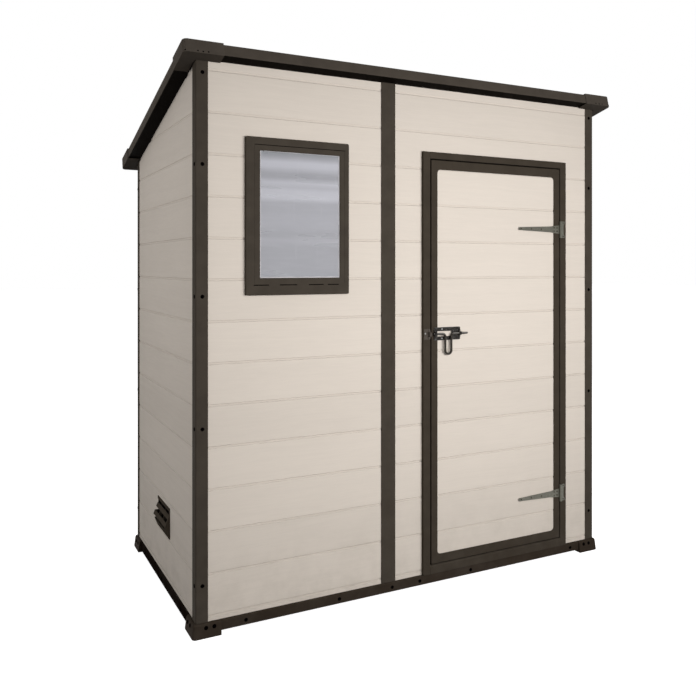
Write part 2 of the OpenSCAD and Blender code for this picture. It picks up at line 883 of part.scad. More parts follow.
// Section of the edge trim: outwards to the right from the edge of the deck, up from the
// underside, with a lip on top of the roof, a lip under it and a drip edge outside
module trim_profile(low_lip) {
    top_r = 5;
    low_r = 3;
    difference() {
        union() {
            translate([-trim_lip_w, roof_t - trim_t]) square([trim_lip_w + trim_t, trim_t]);
            translate([0, -trim_drip]) square([trim_t, roof_t + trim_drip]);
            translate([-low_lip, 0]) square([low_lip + cut, trim_t]);
        }
        // Rounded outer edges
        translate([trim_t - top_r, roof_t - top_r]) difference() {
            square([top_r + cut, top_r + cut]);
            circle(top_r, $fn = 48);
        }
        translate([trim_t - low_r, low_r - trim_drip]) difference() {
            translate([0, -low_r - cut]) square([low_r + cut, low_r + cut]);
            circle(low_r, $fn = 48);
        }
    }
}

// Trim along the front or rear edge, between the round corners of the roof
module long_trim(low_lip) {
    length = body_w + 2 * (side_overhang - cap_round - cut);
    color(BROWN) translate([-length / 2, 0, 0]) along_x(length) trim_profile(low_lip);
}

module front_fascia() {
    on_roof() translate([0, edge_y + trim_t, 0]) mirror([0, 1, 0]) long_trim(front_lip);
}

module rear_fascia() {
    on_roof() translate([0, rear_edge_y - trim_t, 0]) long_trim(rear_lip);
}

// Trim along the left side, between the front and rear trims
module side_trim() {
    low = edge_y + trim_t + max(trim_lip_w, front_lip) + seat;
    high = rear_edge_y - trim_t - max(trim_lip_w, rear_lip) - seat;
    color(BROWN) on_roof() translate([-deck_half, low, 0])
        rotate([90, 0, 0]) mirror([0, 0, 1]) linear_extrude(high - low)
            mirror([1, 0]) trim_profile(side_overhang - trim_t - seat);
}

module left_fascia() { side_trim(); }
module right_fascia() { mirror([1, 0, 0]) side_trim(); }

// Plan of a corner cap, grown outwards by a margin: the corner of the roof is at the
// origin, the arms run along +X and +Y, and each is as wide as its width
module cap_plan(margin, r, arm, width) {
    difference() {
        translate([-margin, -margin]) square([arm + margin, arm + margin]);
        translate([width, width]) square([reach, reach]);
        translate([-margin, -margin]) difference() {
            translate([-cut, -cut]) square([r + cut, r + cut]);
            translate([r, r]) circle(r, $fn = 64);
        }
    }
}

// Corner cap: a moulded shell over the ends of two trims, with a wide lip on top of the
// roof and a lip under it as far as the wall
module corner_cap(low_width) {
    top_width = trim_lip_w + trim_t + cap_t;
    skin = cap_t + seat;
    color(BROWN) difference() {
        union() {
            translate([0, 0, roof_t / 2]) linear_extrude(roof_t / 2 + skin)
                cap_plan(skin, cap_round, cap_len, top_width);
            translate([0, 0, -trim_drip - skin])
                linear_extrude(roof_t / 2 + trim_drip + skin + cut)
                    cap_plan(skin, cap_round, cap_len, low_width);
        }
        translate([0, 0, -trim_drip - seat]) linear_extrude(roof_t + trim_drip + 2 * seat)
            cap_plan(seat, cap_round - cap_t, cap_len + cut, reach);
    }
}

// Caps at the four corners of the roof
module roof_corner_caps() {
    side_low = side_overhang - seat;
    front_low = -edge_y - seat;
    rear_low = rear_lip + trim_t - (trim_drip + cap_t + seat) * tan(roof_slope);
    on_roof() for (mx = [0, 1]) mirror([mx, 0, 0]) {
        translate([left_x - side_overhang, edge_y, 0]) corner_cap(min(front_low, side_low));
        translate([left_x - side_overhang, rear_edge_y, 0]) mirror([0, 1, 0])
            corner_cap(min(rear_low, side_low));
    }
}

floor_left_panel();
floor_right_panel();
front_rail();
rear_rail();
left_rail();
right_rail();
corner_shoes();
front_left_post();
front_right_post();
rear_left_post();
rear_right_post();
front_mullion();
rear_mullion();
front_window_panel();
front_latch_side_panel();
front_hinge_side_panel();
front_over_door_panel();
left_wall();
right_wall();
rear_left_panel();
rear_right_panel();
window_frame();
window_pane();
door_jamb_latch_side();
door_jamb_hinge_side();
door_head();
door_threshold();
door_rim();
door_panel();
hinge_strap_upper();
hinge_strap_lower();
hinge_leaf_upper();
hinge_leaf_lower();
latch_plate();
latch_bolt();
latch_keeper();
left_vent();
right_vent();
roof_left_panel();
roof_right_panel();
front_fascia();
rear_fascia();
left_fascia();
right_fascia();
roof_corner_caps();
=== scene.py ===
"""Studio scene of a resin pent garden shed, dressed round its fixed construction model.

The construction model gives every piece its place and size. This script softens the edges of
the moulded trims and the hardware, adds the screws, weep slots, beads and other small parts, and
gives each surface its own procedural finish. Lengths are in metres, in the construction model's
frame: X along the front, Y from the front to the rear, Z up, with the origin on the ground.
"""

import logging
import math
from dataclasses import dataclass
from enum import Enum
from functools import partial
from typing import Callable, ClassVar, Iterable

import bmesh
import bpy
from mathutils import Matrix, Vector


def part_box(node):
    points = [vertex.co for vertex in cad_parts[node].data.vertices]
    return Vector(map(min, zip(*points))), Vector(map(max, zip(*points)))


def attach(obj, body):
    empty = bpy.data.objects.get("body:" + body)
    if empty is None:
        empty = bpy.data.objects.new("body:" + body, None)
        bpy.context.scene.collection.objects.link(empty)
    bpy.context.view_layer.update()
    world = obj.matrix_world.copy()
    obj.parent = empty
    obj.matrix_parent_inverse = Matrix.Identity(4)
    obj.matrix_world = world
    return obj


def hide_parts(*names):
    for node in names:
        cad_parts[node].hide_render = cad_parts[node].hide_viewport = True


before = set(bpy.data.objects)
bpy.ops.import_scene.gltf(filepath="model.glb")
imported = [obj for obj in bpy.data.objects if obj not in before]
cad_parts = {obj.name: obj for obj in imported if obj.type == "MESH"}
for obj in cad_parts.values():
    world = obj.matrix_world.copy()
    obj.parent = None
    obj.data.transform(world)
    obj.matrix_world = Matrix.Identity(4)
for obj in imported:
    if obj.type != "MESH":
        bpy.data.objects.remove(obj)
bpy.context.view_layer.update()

LOG = logging.getLogger("pent_shed")
Point = tuple[float, float, float]
Colour = tuple[float, float, float]
Socket = bpy.types.NodeSocket
Node = bpy.types.Node
Value = Socket | float
Mesh = bmesh.types.BMesh
Reshape = Callable[[Mesh], None]
Sockets = dict[str, Socket]

HALF_WIDTH = 0.905
HALF_DEPTH = 0.482
DUST_ON_BOARDS: Colour = (0.42, 0.37, 0.31)
DUST_ON_TRIM: Colour = (0.20, 0.175, 0.15)
DEEP_SHADE: Colour = (0.002, 0.0014, 0.001)
WHITE = (1.0, 1.0, 1.0, 1.0)
MERGE_DISTANCE = 0.00002
FLAT_ANGLE = math.radians(0.8)


def scaled(colour: Colour, factor: float) -> Colour:
    """Returns a colour with each channel multiplied by a factor."""
    return tuple(channel * factor for channel in colour)


class Body(Enum):
    """The moving bodies of the shed."""

    SHED = "shed"
    DOOR = "door"
    BOLT = "bolt"


class Facing(Enum):
    """Ways that a screw head can face, as the turn that points +Z that way."""

    FRONT = Matrix.Rotation(math.radians(90), 4, "X")
    REAR = Matrix.Rotation(math.radians(-90), 4, "X")
    LEFT = Matrix.Rotation(math.radians(-90), 4, "Y")
    RIGHT = Matrix.Rotation(math.radians(90), 4, "Y")


# ---- Node trees ----


class Graph:
    """Short hand for adding and joining the nodes of one tree."""

    def __init__(self, tree: bpy.types.NodeTree) -> None:
        """Empties a tree and takes it over.

        Args:
            tree: Node tree of a material, a world or a node group.
        """
        self.tree = tree
        tree.nodes.clear()

    def add(self, kind: str, values: dict | None = None, **settings: object) -> Node:
        """Adds a node.

        Args:
            kind: Type name of the node.
            values: Input name or number to a plain value or to a socket to join.
            **settings: Attributes of the node, such as operation.

        Returns:
            The new node.
        """
        node = self.tree.nodes.new(kind)
        for name, value in settings.items():
            setattr(node, name, value)
        self.feed(node, values or {})
        return node

    def feed(self, node: Node, values: dict) -> None:
        """Gives the inputs of a node their values.

        Args:
            node: Node that takes them.
            values: Input name or number to a plain value or to a socket to join.
        """
        for key, value in values.items():
            if isinstance(value, Socket):
                self.tree.links.new(value, node.inputs[key])
            else:
                node.inputs[key].default_value = value

    def math(self, operation: str, *terms: Value, clamp: bool = False) -> Socket:
        """Adds a Math node.

        Args:
            operation: Name of the operation.
            *terms: Numbers or sockets, in the order of the node's inputs.
            clamp: Whether the result is held between 0 and 1.

        Returns:
            The result's socket.
        """
        values = dict(enumerate(terms))
        return self.add("ShaderNodeMath", values, operation=operation, use_clamp=clamp).outputs[0]

    def weighed(self, first: Socket, share: float, second: Socket, rest: float) -> Socket:
        """Adds two values, each times its own weight.

        Args:
            first: First value.
            share: Weight of the first value.
            second: Second value.
            rest: Weight of the second value.

        Returns:
            The sum's socket.
        """
        return self.math("ADD", self.math("MULTIPLY", first, share),
                         self.math("MULTIPLY", second, rest))

    def height_of(self, vector: Socket) -> Socket:
        """Returns the socket of a vector's Z."""
        return self.add("ShaderNodeSeparateXYZ", {0: vector}).outputs[2]

    def seen(self) -> Socket:
        """Returns the socket that is 1 for what the camera, gloss and clear sheet see."""
        path = self.add("ShaderNodeLightPath").outputs
        shown = self.math("MAXIMUM", path["Is Camera Ray"], path["Is Glossy Ray"])
        return self.math("MAXIMUM", shown, path["Is Transmission Ray"])

    def ramp(self, value: Socket, low: float, high: float, start: float = 0.0,
             end: float = 1.0) -> Socket:
        """Maps a value smoothly from one range to another.

        Args:
            value: Socket to map.
            low: Value that gives start.
            high: Value that gives end.
            start: Result at low.
            end: Result at high.

        Returns:
            The mapped value's socket.
        """
        return self.add("ShaderNodeMapRange", {
            "Value": value, "From Min": low, "From Max": high, "To Min": start, "To Max": end,
        }, interpolation_type="SMOOTHSTEP").outputs[0]

    def mix(self, factor: Value, first: Socket | Colour, second: Socket | Colour,
            blend: str = "MIX") -> Socket:
        """Mixes two colours.

        Args:
            factor: Share of the second colour, a number or a socket.
            first: First colour or its socket.
            second: Second colour or its socket.
            blend: Way in which the second colour is laid on the first.

        Returns:
            The mixed colour's socket.
        """
        ends = {number: value if isinstance(value, Socket) else (*value, 1.0)
                for number, value in ((6, first), (7, second))}
        return self.add("ShaderNodeMix", {0: factor, **ends}, data_type="RGBA",
                        blend_type=blend).outputs[2]

    def stretched(self, position: Socket, across: float, up: float) -> Socket:
        """Scales a position by one factor in plan and by another in height.

        Args:
            position: Socket of the position.
            across: Factor on X and Y.
            up: Factor on Z.

        Returns:
            The scaled position's socket.
        """
        return self.add("ShaderNodeVectorMath", {0: position, 1: (across, across, up)},
                        operation="MULTIPLY").outputs[0]

    def noise(self, vector: Socket, scale: Value, detail: float = 3.0,
              roughness: float = 0.55) -> Socket:
        """Adds a noise texture.

        Args:
            vector: Socket of the position.
            scale: Frequency in cycles a metre.
            detail: Number of octaves.
            roughness: Strength of the finer octaves.

        Returns:
            The noise value's socket.
        """
        return self.add("ShaderNodeTexNoise", {
            "Vector": vector, "Scale": scale, "Detail": detail, "Roughness": roughness,
        }).outputs[0]


class MaterialGraph(Graph):
    """The nodes of a material: its shader, and the position on the piece."""

    def __init__(self, tree: bpy.types.NodeTree, values: dict) -> None:
        """Makes the shader, the output and the position.

        Args:
            tree: Node tree of the material.
            values: Input name of the shader to its plain value.
        """
        super().__init__(tree)
        self.shader = self.add("ShaderNodeBsdfPrincipled", values)
        self.add("ShaderNodeOutputMaterial", {0: self.shader.outputs[0]})
        self.position = self.add("ShaderNodeTexCoord").outputs["Object"]

    def shade(self, values: dict) -> None:
        """Gives the inputs of the shader their values."""
        self.feed(self.shader, values)

    def bump(self, height: Socket, strength: float, depth: float) -> None:
        """Joins a height to the shader's normal.

        Args:
            height: Socket of the height, from 0 to 1.
            strength: Strength of the bump.
            depth: Depth in metres of a height of 1.
        """
        node = self.add("ShaderNodeBump", {
            "Height": height, "Strength": strength, "Distance": depth})
        self.shade({"Normal": node.outputs[0]})


@dataclass(frozen=True)
class EffectGroup:
    """A node group that several finishes share, built once.

    It takes the position and the numbers named in takes, which have their defaults there, and
    gives the numbers named in gives. The function fill adds its nodes.
    """

    built: ClassVar[dict[str, bpy.types.NodeTree]] = {}
    name: str
    takes: dict[str, float]
    gives: tuple[str, ...]
    fill: Callable[[Graph, Sockets], Sockets]

    def tree(self) -> bpy.types.NodeTree:
        """Returns the group's node tree, which is made at the first call."""
        if self.name not in self.built:
            tree = bpy.data.node_groups.new(self.name, "ShaderNodeTree")
            sides = tree.interface
            sides.new_socket("Position", in_out="INPUT", socket_type="NodeSocketVector")
            for name, default in self.takes.items():
                sides.new_socket(name, in_out="INPUT",
                                 socket_type="NodeSocketFloat").default_value = default
            for name in self.gives:
                sides.new_socket(name, in_out="OUTPUT", socket_type="NodeSocketFloat")
            graph = Graph(tree)
            given = {socket.name: socket for socket in graph.add("NodeGroupInput").outputs}
            graph.add("NodeGroupOutput", self.fill(graph, given))
            self.built[self.name] = tree
        return self.built[self.name]

    def place(self, graph: MaterialGraph, **values: Value) -> Sockets:
        """Places the group in a material, at the position on the piece.

        Args:
            graph: Graph of the material.
            **values: Numbers that the group takes.

        Returns:
            What the group gives.
        """
        node = graph.add("ShaderNodeGroup", {"Position": graph.position, **values},
                         node_tree=self.tree())
        return {name: node.outputs[name] for name in self.gives}


def fill_board_rows(graph: Graph, takes: Sockets) -> Sockets:
    """Divides a wall into rows of boards.

    Args:
        graph: Graph of the group.
        takes: Sockets of Position, Pitch, First and Groove.

    Returns:
        Sockets of Groove, Line and Row.
    """
    pitch = takes["Pitch"]
    height = graph.height_of(takes["Position"])
    rows = graph.math("DIVIDE", graph.math("SUBTRACT", height, takes["First"]), pitch)
    row = graph.math("FLOOR", graph.math("ADD", rows, 0.5))
    away = graph.math("MULTIPLY", graph.math("SUBTRACT", rows, row), pitch)
    half = graph.math("MULTIPLY", takes["Groove"], 0.5)
    distance = graph.math("ABSOLUTE", away)
    groove = graph.math("SUBTRACT", 1.0, graph.math("DIVIDE", distance, half), clamp=True)
    # Line is a thin band a little below each groove's middle, which takes painted shade.
    line_below, line_half = 0.75, 0.5
    below = graph.math("ADD", away, graph.math("MULTIPLY", half, line_below))
    line = graph.math("SUBTRACT", 1.0, graph.math(
        "DIVIDE", graph.math("ABSOLUTE", below),
        graph.math("MULTIPLY", half, line_half)), clamp=True)
    number = graph.add("ShaderNodeTexWhiteNoise", {"W": graph.math("FLOOR", rows)},
                       noise_dimensions="1D").outputs["Value"]
    return {"Groove": groove, "Line": line, "Row": number}


BOARD_ROWS = EffectGroup("board_rows", {"Pitch": 0.144, "First": 0.066, "Groove": 0.009},
                         ("Groove", "Line", "Row"), fill_board_rows)


def fill_wood_grain(graph: Graph, takes: Sockets) -> Sockets:
    """Draws the grain pressed into a moulded board: long fibres, fine lines and soft swirls.

    Args:
        graph: Graph of the group.
        takes: Sockets of Position and Row.

    Returns:
        Sockets of Height and Tone.
    """
    shift = graph.add("ShaderNodeCombineXYZ", {
        0: graph.math("MULTIPLY", takes["Row"], 7.0),
        2: graph.math("MULTIPLY", takes["Row"], 3.0),
    }).outputs[0]
    place = graph.add("ShaderNodeVectorMath", {0: takes["Position"], 1: shift},
                      operation="ADD").outputs[0]
    drift = graph.noise(graph.stretched(place, 1.0, 2.4), 2.2, 2.0)
    lifted = graph.add("ShaderNodeCombineXYZ", {
        2: graph.math("MULTIPLY", graph.math("SUBTRACT", drift, 0.5), 0.05)}).outputs[0]
    bent = graph.add("ShaderNodeVectorMath", {0: place, 1: lifted}, operation="ADD").outputs[0]
    fibres = graph.noise(graph.stretched(bent, 0.055, 1.0), 240.0, 4.0, 0.62)
    lines = graph.noise(graph.stretched(bent, 0.02, 1.0), 70.0, 2.0, 0.5)
    cloud = graph.noise(graph.stretched(place, 0.4, 1.0), 9.0, 3.0)
    height = graph.weighed(fibres, 0.62, lines, 0.38)
    return {"Height": height, "Tone": graph.weighed(height, 0.7, cloud, 0.3)}


WOOD_GRAIN = EffectGroup("wood_grain", {"Row": 0.0}, ("Height", "Tone"), fill_wood_grain)


def fill_moulded_skin(graph: Graph, takes: Sockets) -> Sockets:
    """Draws the skin of a moulded trim: a fine stipple over soft flow marks.

    Args:
        graph: Graph of the group.
        takes: Sockets of Position and Fineness.

    Returns:
        Sockets of Height and Tone.
    """
    fine = graph.noise(takes["Position"], takes["Fineness"], 2.0, 0.6)
    flow = graph.noise(takes["Position"], 14.0, 4.0, 0.6)
    return {"Height": graph.weighed(fine, 0.7, flow, 0.3),
            "Tone": graph.weighed(fine, 0.3, flow, 0.7)}


MOULDED_SKIN = EffectGroup("moulded_skin", {"Fineness": 900.0}, ("Height", "Tone"),
                           fill_moulded_skin)


def fill_settled_dust(graph: Graph, takes: Sockets) -> Sockets:
    """Gives a mask of dust that gathers low down and in broken patches.

    Args:
        graph: Graph of the group.
        takes: Sockets of Position, Reach and Amount.

    Returns:
        The socket of Mask.
    """
    height = graph.height_of(takes["Position"])
    low = graph.math("SUBTRACT", 1.0, graph.math("DIVIDE", height, takes["Reach"]),
                     clamp=True)
    patches = graph.ramp(graph.noise(takes["Position"], 11.0, 5.0, 0.62), 0.35, 0.75)
    mask = graph.math("MULTIPLY", graph.math("MULTIPLY", graph.math("POWER", low, 2.0), patches),
                      takes["Amount"], clamp=True)
    return {"Mask": mask}


SETTLED_DUST = EffectGroup("settled_dust", {"Reach": 0.6, "Amount": 0.3}, ("Mask",),
                           fill_settled_dust)


# ---- Finishes ----


MADE: dict[str, bpy.types.Material] = {}


@dataclass(frozen=True)
class Finish:
    """A finish: its name, the record's slot that it stands for, and its plain colour."""

    name: str
    slot: str
    colour: Colour
    roughness: float = 0.6
    specular: float = 0.5

    def material(self) -> bpy.types.Material:
        """Returns the finish's material, which is made at the first call."""
        if self.name in MADE:
            return MADE[self.name]
        material = MADE[self.name] = bpy.data.materials.new(self.name)
        material.use_nodes = True
        material.diffuse_color = (*self.colour, 1.0)
        self.dress(MaterialGraph(material.node_tree, {
            "Base Color": (*self.colour, 1.0), "Roughness": self.roughness,
            "Specular IOR Level": self.specular}))
        return material

    def dress(self, graph: MaterialGraph) -> None:
        """Adds the finish's own nodes.

        Args:
            graph: Graph of the material.
        """
        raise NotImplementedError


@dataclass(frozen=True)
class BoardedResin(Finish):
    """Matt resin boards with a pressed grain, painted shade in each groove and slight tones."""

    groove_shade_colour: Colour = (0.30, 0.265, 0.23)
    pitch: float = 0.144
    first: float = 0.066
    groove: float = 0.009
    row_dark: float = 0.965
    groove_shade: float = 0.10
    line_shade: float = 0.30
    grain_depth: float = 0.0008
    dark: float = 0.975
    pale: float = 1.02

    def dress(self, graph: MaterialGraph) -> None:
        """Adds rows, grain, painted shade in the grooves, and dust.

        Args:
            graph: Graph of the material.
        """
        rows = BOARD_ROWS.place(graph, Pitch=self.pitch, First=self.first, Groove=self.groove)
        grain = WOOD_GRAIN.place(graph, Row=rows["Row"])
        tone = graph.ramp(grain["Tone"], 0.34, 0.66)
        colour = graph.mix(tone, scaled(self.colour, self.dark),
                           scaled(self.colour, self.pale))
        row_tone = graph.ramp(rows["Row"], 0.0, 1.0, self.row_dark, 1.0)
        row_grey = graph.add("ShaderNodeCombineColor", {0: row_tone, 1: row_tone, 2: row_tone})
        colour = graph.mix(1.0, colour, row_grey.outputs[0], "MULTIPLY")
        # Groove and Line darken the boards towards the groove's colour: painted shade in the
        # grooves.
        seam = graph.weighed(rows["Groove"], self.groove_shade, rows["Line"], self.line_shade)
        colour = graph.mix(seam, colour, self.groove_shade_colour)
        dust = SETTLED_DUST.place(graph, Reach=0.55, Amount=0.35)
        colour = graph.mix(dust["Mask"], colour, DUST_ON_BOARDS)
        rough = graph.ramp(grain["Height"], 0.3, 0.7, self.roughness + 0.1,
                           self.roughness - 0.06)
        graph.shade({"Base Color": colour, "Roughness": rough})
        graph.bump(grain["Height"], 0.14, self.grain_depth)


@dataclass(frozen=True)
class TrimResin(Finish):
    """Satin resin of the posts, frames, rails and roof, with a fine stipple, pale dust and painted
    shade on faces that point down.
    """

    fineness: float = 900.0
    depth: float = 0.00025
    dust: float = 0.1
    # Strength of the painted shade on faces that point down, and the normal heights over which it
    # fades in.
    under_shade: float = 0.0
    under_shade_from: float = -0.45
    under_shade_to: float = -0.85
    dark: float = 0.9
    pale: float = 1.12

    def dress(self, graph: MaterialGraph) -> None:
        """Adds the stipple, soft tones, dust and painted shade on faces that point down.

        Args:
            graph: Graph of the material.
        """
        skin = MOULDED_SKIN.place(graph, Fineness=self.fineness)
        tone = graph.ramp(skin["Tone"], 0.32, 0.68)
        colour = graph.mix(tone, scaled(self.colour, self.dark),
                           scaled(self.colour, self.pale))
        dust = SETTLED_DUST.place(graph, Reach=0.5, Amount=self.dust)
        colour = graph.mix(dust["Mask"], colour, DUST_ON_TRIM)
        # Faces that point down are painted towards near black: painted shade beneath the eaves and
        # trims.
        if self.under_shade:
            rise = graph.height_of(graph.add("ShaderNodeTexCoord").outputs["Normal"])
            shaded = graph.ramp(rise, self.under_shade_from, self.under_shade_to, 0.0, self.under_shade)
            colour = graph.mix(shaded, colour, DEEP_SHADE)
        rough = graph.ramp(skin["Tone"], 0.3, 0.7, self.roughness - 0.07,
                           self.roughness + 0.09)
        graph.shade({"Base Color": colour, "Roughness": rough})
        graph.bump(skin["Height"], 0.5, self.depth)


@dataclass(frozen=True)
class CloudyPane(Finish):
    """Cloudy plastic pane with soft painted stripes of reflected light across it and a clear
    gloss.
    """

    bottom: float = 1.223
    top: float = 1.673
    painted_reflection_bands: tuple[tuple[float, float], ...] = (
        (0.05, 0.335), (0.24, 0.335), (0.30, 0.385), (0.335, 0.33), (0.42, 0.385),
        (0.48, 0.39), (0.52, 0.38), (0.595, 0.385), (0.635, 0.53), (0.69, 0.525),
        (0.722, 0.455), (0.755, 0.52), (0.80, 0.355), (0.83, 0.365), (0.885, 0.535),
        (0.92, 0.55), (0.955, 0.38))
    foot: Colour = (0.31, 0.32, 0.35)
    head: Colour = (0.26, 0.27, 0.29)
    streak: Colour = (0.62, 0.62, 0.66)
    wisp: Colour = (0.66, 0.66, 0.69)
    blueness: float = 1.09
    clearness: float = 0.15
    ior: float = 1.49

    def dress(self, graph: MaterialGraph) -> None:
        """Adds the painted reflection stripes and the soft ripples.

        Args:
            graph: Graph of the material.
        """
        position = graph.position
        share = graph.math("DIVIDE", graph.math(
            "SUBTRACT", graph.height_of(position), self.bottom), self.top - self.bottom)
        wander = graph.noise(graph.stretched(position, 1.0, 0.3), 5.0, 2.0)
        share = graph.math("ADD", share, graph.math(
            "MULTIPLY", graph.math("SUBTRACT", wander, 0.5), 0.025))
        # The pane's colour steps through lighter and darker stripes up its height: painted
        # reflections.
        painted_reflection_bands = graph.add("ShaderNodeValToRGB", {0: share})
        stops = painted_reflection_bands.color_ramp.elements
        stops[0].color, stops[1].color = (*self.foot, 1), (*self.head, 1)
        for place, level in self.painted_reflection_bands:
            stops.new(place).color = (level, level, level * self.blueness, 1)
        streaks = graph.noise(graph.stretched(position, 0.14, 1.0), 90.0, 1.0)
        colour = graph.mix(graph.ramp(streaks, 0.4, 0.8, 0.0, 0.08), painted_reflection_bands.outputs[0],
                           self.streak)
        wisps = graph.noise(graph.stretched(position, 1.0, 0.12), 60.0, 2.0)
        colour = graph.mix(graph.ramp(wisps, 0.60, 0.80, 0.0, 0.12), colour, self.wisp)
        ripple = graph.noise(graph.stretched(position, 0.12, 1.0), 26.0, 2.0)
        graph.shade({
            "Base Color": colour, "Roughness": graph.ramp(ripple, 0.3, 0.7, 0.26, 0.34),
            "Transmission Weight": self.clearness, "IOR": self.ior})
        graph.bump(ripple, 0.05, 0.0002)


@dataclass(frozen=True)
class CoatedMetal(Finish):
    """Coated metal of the hinges and the bolt, mottled and rubbed bright here and there, with a
    painted highlight above a given height where one is set.
    """

    bare_and_highlight: Colour = (0.5, 0.5, 0.48)
    rubbed: float = 0.2
    metallic: float = 0.75
    # Height above which the metal is painted bright all along: a painted highlight.
    painted_highlight_above: float | None = None
    painted_highlight_edge: float = 0.001
    fineness: float = 1500.0

    def dress(self, graph: MaterialGraph) -> None:
        """Adds the mottle, the rubbed patches, fine scratches and the painted highlight.

        Args:
            graph: Graph of the material.
        """
        position = graph.position
        skin = MOULDED_SKIN.place(graph, Fineness=self.fineness)
        patches = graph.noise(position, 130.0, 5.0, 0.6)
        scratches = graph.noise(graph.stretched(position, 1.0, 18.0), 160.0, 2.0)
        worn = graph.math("MULTIPLY", graph.ramp(patches, 0.52, 0.72), self.rubbed)
        scratch = graph.math("MULTIPLY", graph.ramp(scratches, 0.62, 0.75), self.rubbed)
        bare_and_highlight = graph.math("ADD", worn, scratch, clamp=True)
        # Everything above this height is painted towards the bright colour: a painted highlight
        # along the top.
        if self.painted_highlight_above is not None:
            painted_highlight = graph.ramp(graph.height_of(position), self.painted_highlight_above - self.painted_highlight_edge,
                              self.painted_highlight_above + self.painted_highlight_edge, 0.0, 0.85)
            bare_and_highlight = graph.math("MAXIMUM", bare_and_highlight, painted_highlight)
        colour = graph.mix(graph.ramp(patches, 0.3, 0.7), scaled(self.colour, 0.75),
                           self.colour)
        rough = graph.ramp(patches, 0.3, 0.7, self.roughness - 0.08, self.roughness + 0.1)
        graph.shade({"Base Color": graph.mix(bare_and_highlight, colour, self.bare_and_highlight),
                     "Metallic": self.metallic, "Roughness": rough})
        graph.bump(skin["Height"], 0.3, 0.0001)


@dataclass(frozen=True)
class PaleFloor(Finish):
    """Plain pale studio floor that reads white and keeps the shed's shadow."""

    bounce: Colour = (0.10, 0.098, 0.095)
    glow: float = 0.86

    def dress(self, graph: MaterialGraph) -> None:
        """Adds the floor's faint tone, and the white that the camera and reflections see.

        Args:
            graph: Graph of the material.
        """
        seen = graph.seen()
        tone = graph.ramp(graph.noise(graph.position, 1.5, 2.0), 0.3, 0.7)
        colour = graph.mix(tone, scaled(self.colour, 0.985), self.colour)
        graph.shade({
            "Base Color": graph.mix(seen, self.bounce, colour),
            "Emission Color": WHITE,
            "Emission Strength": graph.math("MULTIPLY", seen, self.glow)})


BOARDS = BoardedResin("boarded_resin", "beige_resin", (0.730, 0.655, 0.578), 0.68, 0.1)
POST = TrimResin("brown_post_resin", "brown_resin", (0.060, 0.0495, 0.039), 0.58, 0.01)
BROWN = TrimResin("brown_door_resin", "brown_resin", (0.051, 0.041, 0.031), 0.58, 0.01)
DARK = TrimResin("dark_base_resin", "dark_brown_resin", (0.037, 0.0275, 0.0203), 0.6, 0.01)
# A near-black copy of the rail colour for the rear and side rails: painted shade.
RAIL_PAINTED_SHADE = TrimResin("dark_sill_resin", "dark_brown_resin", (0.011, 0.007, 0.005), 0.6, 0.0)
# ROOF, CAP and SHEET are painted towards near black on faces that point down: painted shade
# beneath the eaves.
ROOF = TrimResin("roof_trim_resin", "roof_resin", (0.070, 0.058, 0.047), 0.6, 0.01, under_shade=0.97)
CAP = TrimResin("roof_cap_resin", "roof_resin", (0.073, 0.061, 0.050), 0.6, 0.01, under_shade=0.4)
SHEET = TrimResin("roof_sheet_resin", "roof_resin", (0.036, 0.029, 0.023), 0.6, 0.01, under_shade=0.98)
VENT = TrimResin("vent_resin", "brown_resin", (0.080, 0.065, 0.050), 0.62, 0.0, dust=0.0)
FLOOR = TrimResin("floor_panel_resin", "floor_resin", (0.19, 0.175, 0.155), 0.65, dust=0.1)
PANE = CloudyPane("cloudy_pane", "window_pane", (0.42, 0.42, 0.45), 0.3)
HINGE = CoatedMetal("hinge_coating", "hinge_metal", (0.138, 0.134, 0.107), 0.5,
                    bare_and_highlight=(0.30, 0.30, 0.25), metallic=0.4)
STEEL = CoatedMetal("dark_latch_steel", "latch_steel", (0.036, 0.033, 0.030), 0.36,
                    bare_and_highlight=(0.40, 0.39, 0.37), rubbed=0.25, metallic=0.9)
# The rod: worn steel with its upper half painted bright, a painted highlight along it.
ROD = CoatedMetal("worn_rod_steel", "latch_steel", (0.040, 0.033, 0.027), 0.36,
                  bare_and_highlight=(0.21, 0.20, 0.185), rubbed=0.25, metallic=0.8, painted_highlight_above=0.9965)
# Bright zinc screw heads: partly real zinc, partly a painted glint where the screws catch the
# light.
ZINC = CoatedMetal("bright_screw_zinc", "latch_steel", (0.50, 0.50, 0.49), 0.4,
                   bare_and_highlight=(0.6, 0.6, 0.58), metallic=0.5)
KEEPER = CoatedMetal("brown_keeper_coating", "latch_steel", (0.058, 0.046, 0.037), 0.55,
                     bare_and_highlight=(0.12, 0.10, 0.09), rubbed=0.2, metallic=0.1)
SEAL = TrimResin("clear_edge_seal", "window_pane", (0.56, 0.54, 0.555), 0.5, 0.2, dust=0.0)
# Black for the screw heads, and for the sheets and strips that are painted shade in the vents and
# weep slots.
BLACK = TrimResin("black_screw_resin", "dark_brown_resin", (0.0015, 0.001, 0.001), 0.6, 0.0,
                  dust=0.0)
STUDIO = PaleFloor("studio_floor", "", (0.80, 0.80, 0.80), 0.9)


# ---- Pieces ----


def put(name: str, mesh: Mesh, finish: Finish, body: Body = Body.SHED,
        smooth: float = 40.0) -> bpy.types.Object:
    """Makes a finished piece of a mesh.

    Args:
        name: Name of the piece.
        mesh: Mesh in the frame's own coordinates; it is freed.
        finish: Finish of the piece.
        body: Body that the piece moves with.
        smooth: Angle in degrees below which an edge is shaded smooth.

    Returns:
        The new object.
    """
    data = bpy.data.meshes.new(name)
    mesh.to_mesh(data)
    mesh.free()
    data.shade_smooth()
    data.set_sharp_from_angle(angle=math.radians(smooth))
    data.materials.append(finish.material())
    piece = bpy.data.objects.new(name, data)
    bpy.context.scene.collection.objects.link(piece)
    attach(piece, body.value)
    return piece


